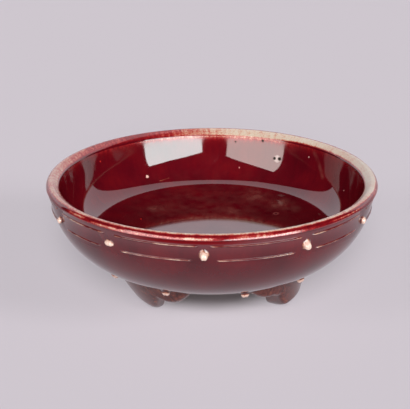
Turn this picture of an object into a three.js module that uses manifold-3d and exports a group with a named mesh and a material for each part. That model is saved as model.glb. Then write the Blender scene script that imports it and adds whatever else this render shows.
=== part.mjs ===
// A shallow drum-shaped brush washer in red glazed porcelain. A thrown bowl stands on three
// cloud-shaped feet and carries two rings of small studs, one under the lip and one at the turn
// to the base. Sizes are in millimetres, +Z is up, and the origin is on the bowl's axis at the
// level it stands on. Angles are in degrees about +Z, from the front (-Y) towards +X.
import * as THREE from "three";
import { mergeVertices } from "three/addons/utils/BufferGeometryUtils.js";
import Module from "manifold-3d";

// Bowl, outside. A drop is measured down from the top of the lip.
const bowlDiameter = 200; // over the upper raised line, its widest place
const bowlHeight = 75;
const baseHeight = 22; // clear height under the flat base
const baseRadius = 44.5;
const widestDrop = 2; // where the plain wall, without its lines, stands upright

// Raised lines and the groove that make the drum's rim
const upperLineDrop = 5.8;
const upperLineHeight = 1.2;
const lowerLineDrop = 15;
const lowerLineHeight = 0.8;
const lineWidth = 2;
const grooveDrop = 3.7;
const grooveDepth = 0.6;

// Lip and inside
const lipWidth = 7.4;
const lipOverhang = 0.9; // how far the rolled lip stands out from the plain wall
const lipCrown = 2.4;
const lipFullness = 2.4; // 2 is an ellipse, and more is squarer
const insideWallDrop = 4; // where the inner wall starts to curve in
const floorEdgeRadius = 65;
const floorEdgeDrop = 35.8;
const floorDishRadius = 45; // inside this the floor levels out
const floorDishDrop = 37;
const floorCentreDrop = 37.9;

// Studs
const studSkirtRadius = 4;
const studSkirtEdge = 0.8;
const studNeckHeight = 1.3;
const studCapRadius = 2.8;
const studHeight = 3.4;
const studSink = 3; // how far a stud's stem reaches in before the wall trims it
const upperStudDrop = 10.9;
const lowerStudRise = 5.1; // centre of the lower studs over the flat base
const upperStudCount = 11;
const lowerStudCount = 10;
const upperStudsInFront = [-64, -36, -2.5, 33, 64]; // set by hand, so they are not quite even
const lowerStudsInFront = [-57.5, -23, 16.5, 50.5];

// Feet. Widths along a foot's curve are measured at footArcRadius.
const feet = [
  { name: "foot_front_left", angle: -57.5, lean: -1.7, swell: 0 },
  { name: "foot_front_right", angle: 67.5, lean: 1.7, swell: 3 },
  { name: "foot_back", angle: 185, lean: 0, swell: 1.5 },
]; // how far each toe leans out and each face swells, as pressed by hand
const footArcRadius = 52;
const footWidth = 84; // across the two wings
const padWidth = 6.4; // flat of the toe that meets the table
const padInnerRadius = 37.5;
const padOuterRadius = 43.5;
const toeRound = 1.5; // how far the toe's outer face is rounded in at the pad
const toeInnerRound = 0.8;
const toeRoundHeight = 4;
const toeLobeWidth = 41; // across the notches between the toe's lobe and the wings
const notchHeight = 14;
const notchSag = 0.75; // how much of the notch's height is lost half way to the wing's lowest point
const wingLowWidth = 52; // across the lowest points of the wings
const wingHeight = 12.3;
const wingEndHeight = 24;
const wingSweep = 2.2; // 2 is a parabola, and more is fuller
const footRise = 1.4; // above 1, a face's rows crowd towards its lower edge
const footRootRadius = 61; // outer face where the foot meets the bowl
const footRootRise = 2; // that place's height over the flat base
const footRootThickness = 11;
const footSink = 9; // how far the foot reaches up before the bowl trims it

// Fit and smoothness
const seatGap = 0.3; // glaze-filled joint between the bowl and what is luted on to it
const studRoom = 0.5; // a foot's least distance to a stud
const mergeDistance = 1e-4; // points of one solid that lie closer are one point
const aroundSegments = 64;
const studSegments = 10;
const flareSteps = 2;
const capSteps = 3;
const wallSteps = 13;
const lineSteps = 4;
const lipSteps = 8;
const insideSteps = 9;
const floorSteps = 3;
const lobeSteps = 5;
const wingSteps = 5;
const footRiseSteps = 4;

const wasm = await Module();
wasm.setup();

// Materials
const oxbloodGlaze = new THREE.MeshStandardMaterial({
  name: "oxblood_glaze",
  color: "#5a0a12",
  roughness: 0.12,
  metalness: 0,
});
const studGlaze = new THREE.MeshStandardMaterial({
  name: "stud_glaze",
  color: "#f0d8c6",
  roughness: 0.2,
  metalness: 0,
});
const footGlaze = new THREE.MeshStandardMaterial({
  name: "foot_glaze",
  color: "#5a3630",
  roughness: 0.25,
  metalness: 0,
});

// Solids and geometries
function solidOf(geometry) {
  const plain = geometry.clone();
  plain.deleteAttribute("normal");
  plain.deleteAttribute("uv");
  const merged = mergeVertices(plain, mergeDistance);
  return new wasm.Manifold(
    new wasm.Mesh({
      numProp: 3,
      vertProperties: merged.attributes.position.array,
      triVerts: new Uint32Array(merged.index.array),
    }),
  );
}

function geometryOf(solid) {
  const mesh = solid.getMesh();
  const geometry = new THREE.BufferGeometry();
  geometry.setAttribute("position", new THREE.BufferAttribute(mesh.vertProperties, 3));
  geometry.setIndex(new THREE.BufferAttribute(mesh.triVerts, 1));
  geometry.computeVertexNormals();
  return geometry;
}

function turned(profile, segments = aroundSegments) {
  return new THREE.LatheGeometry(profile, segments).rotateX(Math.PI / 2);
}

const point = (radius, z) => new THREE.Vector2(radius, z);

// The plain outer wall is a quarter ellipse from the edge of the base to the widest level.
const wallRadius = bowlDiameter / 2 - upperLineHeight;
const widestZ = bowlHeight - widestDrop;
const wallRise = widestZ - baseHeight;

function wallRadiusAt(z) {
  const below = (widestZ - z) / wallRise;
  return baseRadius + (wallRadius - baseRadius) * Math.sqrt(Math.max(0, 1 - below * below));
}

// Outward normal of the plain wall, as radius and height
function wallNormalAt(z) {
  const across = (wallRadiusAt(z) - baseRadius) / (wallRadius - baseRadius) ** 2;
  const down = (z - widestZ) / wallRise ** 2;
  return point(across, down).normalize();
}

// One raised line or groove: a smooth bump on the wall, centred at a height
function bump(z, height) {
  return Array.from({ length: lineSteps + 1 }, (_, step) => {
    const place = step / lineSteps - 0.5;
    const level = z + place * lineWidth;
    return point(wallRadiusAt(level) + height * Math.cos(Math.PI * place) ** 2, level);
  });
}

// Wall from the axis under the base up to just below the lip
function outerProfile() {
  const lowerLineZ = bowlHeight - lowerLineDrop;
  const upperLineZ = bowlHeight - upperLineDrop;
  const wallEndZ = lowerLineZ - lineWidth / 2;
  const wallEnd = Math.acos((widestZ - wallEndZ) / wallRise);
  const wall = Array.from({ length: wallSteps }, (_, step) => {
    const turn = (wallEnd * step) / wallSteps;
    return point(
      baseRadius + (wallRadius - baseRadius) * Math.sin(turn),
      widestZ - wallRise * Math.cos(turn),
    );
  });
  const bandZ = (lowerLineZ + upperLineZ) / 2;
  return [
    point(0, baseHeight),
    ...wall,
    ...bump(lowerLineZ, lowerLineHeight),
    point(wallRadiusAt(bandZ), bandZ),
    ...bump(upperLineZ, upperLineHeight),
    point(wallRadius - grooveDepth, bowlHeight - grooveDrop),
  ];
}

// Lip, inner wall and dished floor, back to the axis
function innerProfile() {
  const lipCentre = wallRadius + lipOverhang - lipWidth / 2;
  const lipInside = lipCentre - lipWidth / 2;
  const power = 2 / lipFullness;
  const lip = Array.from({ length: lipSteps + 1 }, (_, step) => {
    const turn = (Math.PI * step) / lipSteps;
    const across = Math.sign(Math.cos(turn)) * Math.abs(Math.cos(turn)) ** power;
    return point(
      lipCentre + (across * lipWidth) / 2,
      bowlHeight - lipCrown * (1 - Math.abs(Math.sin(turn)) ** power),
    );
  });
  const floorEdgeZ = bowlHeight - floorEdgeDrop;
  const insideRise = floorEdgeDrop - insideWallDrop;
  // The wall's curve ends where it is as steep as the floor.
  const floorSlope = (floorDishDrop - floorEdgeDrop) / (floorEdgeRadius - floorDishRadius);
  const insideRun = lipInside - floorEdgeRadius;
  const wallEnd = Math.atan(insideRise / (floorSlope * insideRun));
  const inside = Array.from({ length: insideSteps + 1 }, (_, step) => {
    const turn = (wallEnd * step) / insideSteps;
    return point(
      floorEdgeRadius + insideRun * Math.cos(turn),
      floorEdgeZ + insideRise * (1 - Math.sin(turn)),
    );
  });
  const dish = Array.from({ length: floorSteps + 1 }, (_, step) => {
    const share = 1 - step / floorSteps;
    return point(
      floorDishRadius * share,
      bowlHeight - floorCentreDrop + (floorCentreDrop - floorDishDrop) * share * share,
    );
  });
  return [...lip, ...inside, ...dish];
}

// The bowl's outside grown by the seat gap, filled in, which trims what is luted on to it
function seatSolid() {
  const outer = outerProfile();
  const grown = outer.map((at, index) => {
    if (index === 0) return point(0, at.y - seatGap);
    const before = outer[index - 1];
    const after = outer[Math.min(index + 1, outer.length - 1)];
    const outward = point(after.y - before.y, before.x - after.x).normalize();
    return at.clone().addScaledVector(outward, seatGap);
  });
  return solidOf(turned([...grown, point(0, bowlHeight)]));
}

const seat = seatSolid();

// One stud before it is trimmed, at the front of the bowl: a round nub on a flared skirt. Room makes
// it larger all round.
function untrimmedStud(z, room = 0) {
  const skirt = studSkirtRadius + room;
  const cap = studCapRadius + room;
  const edge = studSkirtEdge + room;
  const neck = studNeckHeight + room;
  const flare = new THREE.QuadraticBezierCurve(point(skirt, edge), point(cap, edge), point(cap, neck));
  const dome = new THREE.EllipseCurve(0, neck, cap, studHeight - studNeckHeight, 0, Math.PI / 2);
  const profile = [
    point(0, -studSink),
    point(skirt, -studSink),
    ...flare.getPoints(flareSteps),
    ...dome.getPoints(capSteps).slice(1, -1),
    point(0, studHeight + room),
  ];
  const normal = wallNormalAt(z);
  return turned(profile, studSegments)
    .rotateX(Math.PI / 2 - Math.atan2(normal.y, normal.x))
    .translate(0, -wallRadiusAt(z), z);
}

// The studs set by hand at the front, then the rest spaced evenly round the back
function studAngles(inFront, count) {
  const last = inFront[inFront.length - 1];
  const hidden = count - inFront.length;
  const spacing = (inFront[0] + 360 - last) / (hidden + 1);
  return [...inFront, ...Array.from({ length: hidden }, (_, step) => last + spacing * (step + 1))];
}

const upperStudZ = bowlHeight - upperStudDrop;
const lowerStudZ = baseHeight + lowerStudRise;
const upperStudAngles = studAngles(upperStudsInFront, upperStudCount);
const lowerStudAngles = studAngles(lowerStudsInFront, lowerStudCount);

// Lower edge of a foot, as pairs of a distance along its curve and a height: half of the pad, one
// side of the toe's lobe, the notch and one wing
function footEdge() {
  const pad = padWidth / 2;
  const notch = toeLobeWidth / 2;
  const low = wingLowWidth / 2;
  const end = footWidth / 2;
  const edge = [];
  for (let step = 0; step <= lobeSteps; step++) {
    const share = step / lobeSteps;
    const height = notchHeight * (1 - Math.cos((Math.PI / 2) * share));
    edge.push([pad + (notch - pad) * share, height]);
  }
  edge.push([(notch + low) / 2, notchHeight - (notchHeight - wingHeight) * notchSag]);
  for (let step = 0; step <= wingSteps; step++) {
    const share = step / wingSteps;
    const height = wingHeight + (wingEndHeight - wingHeight) * share ** wingSweep;
    edge.push([low + (end - low) * share, height]);
  }
  return edge;
}

// One foot at the front: upright slices round the bowl's axis, whose outer and inner faces lean in
// to the toe, trimmed by the bowl and kept clear of the lower studs
function footGeometry({ angle, lean, swell }) {
  const edge = footEdge();
  const mirrored = edge.map(([along, height]) => [-along, height]).reverse();
  const rootZ = baseHeight + footRootRise;
  const topZ = baseHeight + footSink;
  const faceRadius = (pad, root, round, z) => {
    const rise = Math.min(1, z / rootZ);
    const curl = Math.max(0, 1 - z / toeRoundHeight) ** 2;
    const pressed = lean * (1 - rise) + swell * Math.sin(Math.PI * rise);
    return pad + round + ((root - pad - round) * z) / rootZ - round * curl + pressed;
  };
  const rootInner = footRootRadius - footRootThickness;
  const positions = [];
  for (const [along, lowZ] of [...mirrored, ...edge]) {
    const turn = along / footArcRadius;
    const slice = [];
    for (let step = 0; step <= footRiseSteps; step++) {
      const z = lowZ + (topZ - lowZ) * (step / footRiseSteps) ** footRise;
      slice.push([faceRadius(padOuterRadius, footRootRadius, toeRound, z), z]);
      slice.unshift([faceRadius(padInnerRadius, rootInner, -toeInnerRound, z), z]);
    }
    slice.forEach(([radius, z]) =>
      positions.push(radius * Math.sin(turn), -radius * Math.cos(turn), z),
    );
  }
  const around = 2 * (footRiseSteps + 1);
  const slices = positions.length / 3 / around;
  const triangles = [];
  for (let slice = 0; slice + 1 < slices; slice++) {
    for (let corner = 0; corner < around; corner++) {
      const here = slice * around + corner;
      const next = slice * around + ((corner + 1) % around);
      triangles.push(here, here + around, next, next, here + around, next + around);
    }
  }
  const last = (slices - 1) * around;
  for (let step = 0; step < footRiseSteps; step++) {
    const [a, b, c, d] = [step, step + 1, around - 2 - step, around - 1 - step];
    triangles.push(a, b, d, b, c, d);
    triangles.push(last + a, last + d, last + b, last + b, last + d, last + c);
  }
  const geometry = new THREE.BufferGeometry();
  geometry.setAttribute("position", new THREE.Float32BufferAttribute(positions, 3));
  geometry.setIndex(triangles);
  const foot = solidOf(geometry).subtract(seat);
  return geometryOf(
    lowerStudAngles.reduce((rest, studAngle) => {
      const turn = THREE.MathUtils.degToRad(studAngle - angle);
      return rest.subtract(solidOf(untrimmedStud(lowerStudZ, studRoom).rotateZ(turn)));
    }, foot),
  );
}

// Parts of the assembly
function place(name, geometry, material, angle) {
  const mesh = new THREE.Mesh(geometry, material);
  mesh.name = name;
  mesh.rotation.z = THREE.MathUtils.degToRad(angle);
  return mesh;
}

function studRing(prefix, z, angles) {
  const ring = new THREE.Group();
  const geometry = geometryOf(solidOf(untrimmedStud(z)).subtract(seat));
  angles.forEach((angle, index) => {
    const number = String(index + 1).padStart(2, "0");
    ring.add(place(`${prefix}_${number}`, geometry, studGlaze, angle));
  });
  return ring;
}

const washer = new THREE.Group();
washer.add(place("bowl", turned([...outerProfile(), ...innerProfile()]), oxbloodGlaze, 0));
feet.forEach((foot) => {
  washer.add(place(foot.name, footGeometry(foot), footGlaze, foot.angle));
});
washer.add(studRing("upper_stud", upperStudZ, upperStudAngles));
washer.add(studRing("lower_stud", lowerStudZ, lowerStudAngles));

export default washer;
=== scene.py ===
"""A drum-shaped porcelain brush washer in copper-red glaze, standing on three cloud-shaped feet.

The bowl, studs and feet are fine meshes that stand for the frame's solids. Sizes are in millimetres
unless a name or comment says otherwise. Angles are in degrees about +Z, from the front (-Y) towards +X,
but what a function calls angles, in the plural, is in radians.
"""

import math

import bpy
import numpy as np
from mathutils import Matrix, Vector


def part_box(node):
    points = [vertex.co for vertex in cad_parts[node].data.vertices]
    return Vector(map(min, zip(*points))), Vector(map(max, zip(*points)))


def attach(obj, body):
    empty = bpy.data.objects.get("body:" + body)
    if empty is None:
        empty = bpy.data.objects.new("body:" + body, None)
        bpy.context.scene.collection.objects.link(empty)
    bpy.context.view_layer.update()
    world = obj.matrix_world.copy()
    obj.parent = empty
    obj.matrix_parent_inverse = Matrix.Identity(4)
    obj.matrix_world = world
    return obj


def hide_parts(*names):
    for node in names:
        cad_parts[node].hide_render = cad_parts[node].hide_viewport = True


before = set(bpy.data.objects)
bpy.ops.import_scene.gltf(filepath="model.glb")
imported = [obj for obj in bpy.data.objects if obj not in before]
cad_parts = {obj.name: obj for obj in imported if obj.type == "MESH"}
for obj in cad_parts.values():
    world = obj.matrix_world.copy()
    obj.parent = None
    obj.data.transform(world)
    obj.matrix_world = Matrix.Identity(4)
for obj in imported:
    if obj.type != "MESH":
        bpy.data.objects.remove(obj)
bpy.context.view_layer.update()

MM = 0.001

# Bowl, from the frame
bowl_low, bowl_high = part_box("bowl")
RIM_Z = bowl_high.z / MM
BASE_Z = bowl_low.z / MM
WIDEST_RADIUS = bowl_high.x / MM

# Bowl, outside. A drop is measured down from the top of the lip.
BASE_RADIUS = 44.5
WIPED_MARGIN = 2.0  # how far in from its edge the base is wiped clean of glaze
WIPED_EASE = 1.5
WIDEST_DROP = 2.0
UPPER_LINE_DROP = 5.8
UPPER_LINE_HEIGHT = 1.2  # in the solids, where it is the widest form
LOWER_LINE_DROP = 15.0
GLAZED_LINE_WIDTH = 1.5
GLAZED_LINE_HEIGHT = 0.65
WALL_RADIUS = WIDEST_RADIUS - UPPER_LINE_HEIGHT
WALL_RISE = RIM_Z - WIDEST_DROP - BASE_Z

# Lip
LIP_OVERHANG = 0.9
# Its section is a chain of arcs, from the lower outer edge over the crest to the inner wall: the way
# the surface faces at each end (0 is out, 90 up, 180 in), and the arc's radius
LIP_ARCS = ((-60, 10, 0.5), (10, 55, 4.4), (55, 115, 1.4), (115, 135, 12.6), (135, 168, 2.0))
FACING_UP = 90
# The hand-finished rim stands a little higher in front than at the sides, and least at the back
RIM_LIFT_MEAN = 0.675
RIM_LIFT_FRONT = 0.45
RIM_LIFT_FRONT_AND_BACK = 0.075
LIFT_ENDS_OUTSIDE = 4.9
LIFT_ENDS_INSIDE = 36.0
# The roll of the lip also swells out more at some turns than at others
SPREAD_TURNS = range(-180, 181, 30)
SPREAD = (0.7, 0.3, 0.5, 0.8, 0.6, 0.2, 0.1, 0.3, 0.8, 1.2, 1.2, 1.0, 0.7)
SPREAD_EASE = 12.0  # the turn over which it is averaged, each way
SPREAD_SAMPLES = 9
SPREAD_START = 0.6  # along the lip, on the inner side of the crest
SPREAD_FULL = -1.0
SPREAD_FILLET = 0.45  # it dies away down the wall under the lip over about this drop

# Inside
INSIDE_START_DROP = 2.4  # where the inner wall's curve would start, were there no lip
INSIDE_LEAN_AT_LIP = 12.0
INSIDE_LEAN_AT_FLOOR = 84.0
INSIDE_TURN = 1.49  # above 1, the wall turns in late, near the floor
INSIDE_LENGTH = 47.0
FLOOR_EDGE_SLOPE = 6.0
FLOOR_EASE = 20.0  # width over which the wall's last slope dies away into the floor
FLOOR_SLOPE = 1.4  # of the dished floor, half way to its centre
FLOOR_TILT_RIGHT = 0.35  # the thrown floor is not quite level
FLOOR_TILT_BACK = 1.3
LEVEL_RADIUS = 90.0  # out here, the inside is level again
TILTED_RADIUS = 65.0  # and in here, it tilts in full
# Faint seeded waves that the potter's hand left inside, which bend what the glaze mirrors: how many
# go round, and how long each is up the wall. The more go round, the fainter they are.
THROWING_WAVES = ((3, 60), (7, 31), (13, 22), (22, 15), (31, 11))
WAVE_HEIGHT = 0.012
WAVE_STRONG_COUNT = 6
WAVE_SEED = 11
WAVE_START_DROP = 6.0
WAVE_FULL_DROP = 11.0

# Studs
STUD_SKIRT_RADIUS = 3.9
STUD_SKIRT_SHARE = 0.34  # of the stud's height
STUD_CAP_RADIUS = 2.35
STUD_CAP_START = 0.3  # the share of its height where the cap starts to round over
STUD_CAP_FULLNESS = 2.6
STUD_CAP_BLUNTNESS = 0.45
STUD_WAVES = (2, 3, 5)  # how many waves go round its hand-pressed outline
STUD_WAVER = 0.1
STUD_SAG = 0.9
STUD_NARROWING = 0.86  # across the wall, against up and down it
STUD_HEIGHT = 3.4
STUD_SINK = 0.5
UPPER_STUD_DROP = 10.9
LOWER_STUD_RISE = 5.1
UPPER_STUDS_IN_FRONT = (-64, -36, -2.5, 33, 64)
LOWER_STUDS_IN_FRONT = (-57.5, -23, 16.5, 50.5)
UPPER_STUD_COUNT = 11
LOWER_STUD_COUNT = 10
UPPER_LINE_BREAK = 3.4  # how far from a stud's centre a raised line starts to show
LOWER_LINE_BREAK = 7.2
LINE_START = 1.6  # length over which it rises
LINE_END_FADE = 3.0  # length over which its bare end fades
CLEFT_WIDTH = 0.45
CLEFT_DEPTH = 0.5
# How wide, how tall, how high and how much barer: plain studs, and those that differ from them
PLAIN_UPPER_STUD = (1.0, 1.0, 1.0, 0.0)
PLAIN_LOWER_STUD = (1.15, 1.0, 0.85, -0.12)
ODD_STUDS = {
    "upper_stud_01": (0.8, 0.8, 0.75, -0.12),
    "upper_stud_02": (1.55, 0.6, 0.5, -0.08),
    "upper_stud_05": (0.8, 0.9, 0.75, -0.1),
}
LOWER_STUD_HANG = 0.38  # how much glaze hangs on the upper side of a lower stud

# A run of glaze from the upper line down to the second stud: azimuth and drop at its ends
RUN_START = (-40.2, 5.8)
RUN_END = (-38.7, 10.4)
RUN_WIDTH = 0.55
RUN_HEIGHT = 0.5

# Feet
# Name, angle, lean of the toe, swell of the outer face, rounding of the toe, and how much higher the
# edges of the two wings are
FEET = (
    ("foot_front_left", -57.5, 0.0, 0.8, 2.4, (0.0, 0.6)),
    ("foot_front_right", 67.5, 0.6, -0.6, 10.0, (3.2, 0.0)),
    ("foot_back", 185.0, 0.0, 1.5, 1.5, (0.0, 0.0)),
)
FOOT_ARC_RADIUS = 52.0
FOOT_WIDTH = 84.0
PAD_WIDTH = 6.4
PAD_INNER_RADIUS = 37.5
PAD_OUTER_RADIUS = 43.5
TOE_INNER_ROUND = 0.8
TOE_ROUND_HEIGHT = 6.0
TOE_LOBE_WIDTH = 41.0
NOTCH_HEIGHT = 14.0
WING_LOW_WIDTH = 52.0
WING_HEIGHT = 12.3
WING_END_HEIGHT = 24.0
WING_SWEEP = 2.2
FOOT_ROOT_RISE = 2.0
FOOT_ROOT_RADIUS = 61.0
FOOT_ROOT_THICKNESS = 11.0
FOOT_SINK = 7.0
FOOT_EDGE_ROUND = 2.6
PALE_EDGE_HEIGHT = 0.9  # the glaze ran thin along the wings' lower edges
PALE_EDGE_LEAD = 1.0
PALE_EDGE_EASE = 3.0

# How fine the meshes are
AROUND = 720
BASE_ROWS = 22
WALL_ROWS = 90
LINED_WALL_ROWS = 88
LINED_WALL_DROP = 17.0  # above it, rows lie close enough to carry the raised lines
LIP_STEP = 0.18
LIP_ARC_ROWS = 4
INSIDE_ROWS = 120
FLOOR_ROWS = 70
BASE_FIRST_RADIUS = 2.0
FLOOR_LAST_RADIUS = 1.5
ROW_GAP = 0.1  # between the rows of one stretch and of the next
STUD_ROWS = 23
STUD_COLUMNS = 40
FOOT_SLICES = 141
FOOT_ROWS = 26
FOOT_ROW_CROWDING = 1.5  # above 1, rows crowd towards the foot's lower edge

# Camera, fitted to the photo's frame
PHOTO_WIDTH_PX = 410
PHOTO_HEIGHT_PX = 409
CAMERA_ELEVATION = 19.47
CAMERA_DISTANCE = 949.0  # from the middle of the lip's top
CAMERA_FOCAL_PX = 1560.9
LIP_CENTRE_PX = (211.62, 177.08)
SENSOR_MM = 36.0
CAMERA_NEAR_M = 0.01
CAMERA_FAR_M = 50


# Small tools
def linear(hex_colour):
    """An sRGB hex colour as the linear values that shaders take."""
    values = [int(hex_colour[i : i + 2], 16) / 255 for i in (1, 3, 5)]
    return [v / 12.92 if v <= 0.04045 else ((v + 0.055) / 1.055) ** 2.4 for v in values] + [1.0]


def add(tree, kind, inputs=None, stops=None, **settings):
    """Adds a node with its settings, a ramp's stops, and its inputs' values or links. A node given as
    an input is linked from the first of its outputs that is in use."""
    node = tree.nodes.new("ShaderNode" + kind)
    for name, value in settings.items():
        setattr(node, name, value)
    for socket, value in (inputs or {}).items():
        if isinstance(value, bpy.types.Node):
            value = next(output for output in value.outputs if output.enabled)
        if isinstance(value, bpy.types.NodeSocket):
            tree.links.new(value, node.inputs[socket])
        else:
            node.inputs[socket].default_value = value
    if stops:
        elements = node.color_ramp.elements
        while len(elements) < len(stops):
            elements.new(1.0)
        for element, (position, colour) in zip(elements, stops):
            element.position = position
            element.color = linear(colour)
    return node


def new_material(name):
    """A material, with its node tree emptied."""
    material = bpy.data.materials.new(name)
    material.use_nodes = True
    material.node_tree.nodes.clear()
    return material, material.node_tree


def per_metre(size_mm):
    """A texture's scale, for features of a size in millimetres on coordinates in metres."""
    return 1 / (size_mm * MM)


def smooth(value):
    """Eases from 0 to 1 as the value goes from 0 to 1."""
    clipped = np.clip(value, 0, 1)
    return clipped * clipped * (3 - 2 * clipped)


def eased(value, start, end):
    """Eases from 0 at the start to 1 at the end, whichever of them is the greater."""
    return smooth((value - start) / (end - start))


def between(start, end, share):
    return start + (end - start) * share


def within_half_turn(turn):
    """The same turn, from -180 to 180."""
    return (turn + 180) % 360 - 180


def turned_to(angles, radius, z):
    """Points at angles round the axis."""
    angles, radius, z = np.broadcast_arrays(angles, radius, z)
    return np.stack([radius * np.sin(angles), -radius * np.cos(angles), z], axis=-1)


def arc_distance(angles, target, radius):
    """Distance along the wall from a target in degrees to angles, in millimetres."""
    return np.radians(within_half_turn(np.degrees(angles) - target)) * radius


def in_scene(name, data):
    """An object in the scene that shows its data."""
    piece = bpy.data.objects.new(name, data)
    bpy.context.scene.collection.objects.link(piece)
    return piece


def mesh_piece(name, points, faces, material):
    """A mesh piece, from points in metres."""
    mesh = bpy.data.meshes.new(name)
    mesh.from_pydata(np.asarray(points).tolist(), [], faces)
    mesh.materials.append(material)
    return in_scene(name, mesh)


def smooth_piece(name, points, faces, attributes, material):
    """A smooth mesh piece, from points in millimetres, with values that its material reads."""
    piece = mesh_piece(name, np.asarray(points) * MM, faces, material)
    piece.data.shade_smooth()
    for label, values in attributes.items():
        values = np.asarray(values, np.float32)
        kind, field = ("FLOAT", "value") if values.ndim == 1 else ("FLOAT_VECTOR", "vector")
        attribute = piece.data.attributes.new(label, kind, "POINT")
        attribute.data.foreach_set(field, values.reshape(-1))
    return piece


def ring_faces(rows, columns, start=0):
    """Quads between rings of points that close on themselves, row after row."""
    faces = []
    for row in range(rows - 1):
        here = start + row * columns
        above = here + columns
        for column in range(columns):
            after = (column + 1) % columns
            faces.append((here + column, here + after, above + after, above + column))
    return faces


# Shape of the bowl
def wall_radius(z):
    """The plain wall's radius at a height."""
    below = (RIM_Z - WIDEST_DROP - z) / WALL_RISE
    return between(BASE_RADIUS, WALL_RADIUS, np.sqrt(np.maximum(0, 1 - below**2)))


def wall_normal(z):
    """The plain wall's outward direction, as radius and height."""
    across = (wall_radius(z) - BASE_RADIUS) / (WALL_RADIUS - BASE_RADIUS) ** 2
    up = (z - (RIM_Z - WIDEST_DROP)) / WALL_RISE**2
    return np.array([across, up]) / math.hypot(across, up)


def hump(distance, width):
    """A raised line's rounded section."""
    return np.where(abs(distance) < width / 2, np.cos(np.pi * distance / width) ** 2, 0)


def inside_curve():
    """The inner wall from the lip to the floor, leaning in more and more."""
    turned_in = smooth(np.linspace(0, 1, INSIDE_ROWS) ** INSIDE_TURN)
    lean = np.radians(between(INSIDE_LEAN_AT_LIP, INSIDE_LEAN_AT_FLOOR, turned_in))
    step = INSIDE_LENGTH / (INSIDE_ROWS - 1)
    middle = (lean[1:] + lean[:-1]) / 2
    inwards = np.concatenate([[0], np.cumsum(np.sin(middle))]) * step
    down = np.concatenate([[0], np.cumsum(np.cos(middle))]) * step
    return inwards, down


def lip_section():
    """Rows of radius, height and way along the lip, which is 0 at the crest and positive inside."""
    radius, z, along = [0.0], [0.0], [0.0]
    crest_along = 0.0
    for start, end, arc_radius in LIP_ARCS:
        steps = max(LIP_ARC_ROWS, math.ceil(math.radians(end - start) * arc_radius / LIP_STEP))
        facing = np.radians(np.linspace(start, end, steps + 1))
        radius += list(radius[-1] + arc_radius * (np.cos(facing[1:]) - np.cos(facing[0])))
        z += list(z[-1] + arc_radius * (np.sin(facing[1:]) - np.sin(facing[0])))
        if start < FACING_UP < end:
            crest_along = along[-1] + math.radians(FACING_UP - start) * arc_radius
        along += list(along[-1] + (facing[1:] - facing[0]) * arc_radius)
    radius = np.array(radius) - max(radius) + WALL_RADIUS + LIP_OVERHANG
    return list(zip(radius, np.array(z) - max(z) + RIM_Z, np.array(along) - crest_along))


def outside_rows():
    """Rows under the base and up the wall, closer together where the raised lines are."""
    base = np.linspace(BASE_FIRST_RADIUS, BASE_RADIUS, BASE_ROWS)
    rows = [(radius, BASE_Z, "base", 0) for radius in base]
    end_turn = math.acos((LINED_WALL_DROP - WIDEST_DROP) / WALL_RISE)
    for turn in np.linspace(0, end_turn, WALL_ROWS)[1:]:
        radius = between(BASE_RADIUS, WALL_RADIUS, math.sin(turn))
        rows.append((radius, RIM_Z - WIDEST_DROP - WALL_RISE * math.cos(turn), "outside", 0))
    under_lip_drop = RIM_Z - lip_section()[0][1] + ROW_GAP
    for drop in np.linspace(LINED_WALL_DROP, under_lip_drop, LINED_WALL_ROWS)[1:]:
        rows.append((float(wall_radius(RIM_Z - drop)), RIM_Z - drop, "outside", 0))
    return rows


def inside_rows(lip_radius, lip_drop):
    """Rows from the lip's foot down the inner wall and in to the floor's middle."""
    rows = []
    inwards, down = inside_curve()
    hidden = np.interp(lip_drop - INSIDE_START_DROP, down, inwards)
    for inward, depth in zip(inwards, down):
        if depth > lip_drop - INSIDE_START_DROP + ROW_GAP:
            z = RIM_Z - INSIDE_START_DROP - depth
            rows.append((lip_radius + hidden - inward, z, "inside", 0))
    edge_radius, edge_z = rows[-1][0], rows[-1][1]
    floor = np.linspace(edge_radius, FLOOR_LAST_RADIUS, FLOOR_ROWS)
    ease = smooth((floor - edge_radius + FLOOR_EASE) / FLOOR_EASE)
    slope = np.radians(FLOOR_EDGE_SLOPE * ease + FLOOR_SLOPE * np.sin(np.pi * floor / edge_radius))
    fall = np.cumsum(np.tan((slope[1:] + slope[:-1]) / 2)) * (floor[0] - floor[1])
    return rows + [(radius, edge_z - depth, "inside", 0) for radius, depth in zip(floor[1:], fall)]


def bowl_profile():
    """Rows of radius, height, side and way along the lip, from under the base round to the floor's
    middle."""
    lip = [(radius, z, "lip", along) for radius, z, along in lip_section()]
    return outside_rows() + lip + inside_rows(lip[-1][0], RIM_Z - lip[-1][1])


def floor_tilt(x, y, radius):
    """How much the tilted floor raises the inside, fading out up the wall."""
    rise = math.radians(FLOOR_TILT_RIGHT) * x + math.radians(FLOOR_TILT_BACK) * y
    return rise * eased(radius, LEVEL_RADIUS, TILTED_RADIUS)


def rim_lift(angles):
    """How much higher the rim stands, round the bowl."""
    front_and_back = RIM_LIFT_FRONT_AND_BACK * np.cos(2 * angles)
    return RIM_LIFT_MEAN + RIM_LIFT_FRONT * np.cos(angles) + front_and_back


def rim_spread(angles):
    """How much further out the roll of the lip swells, round the bowl."""
    steps = np.linspace(-SPREAD_EASE, SPREAD_EASE, SPREAD_SAMPLES)
    turns = [within_half_turn(np.degrees(angles) + step) for step in steps]
    return sum(np.interp(turn, SPREAD_TURNS, SPREAD) for turn in turns) / SPREAD_SAMPLES


def lift_inside(drop, lip_foot):
    """How much of the rim's lift the inner wall takes up, dying away down the wall."""
    return eased(drop, LIFT_ENDS_INSIDE, lip_foot)


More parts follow.
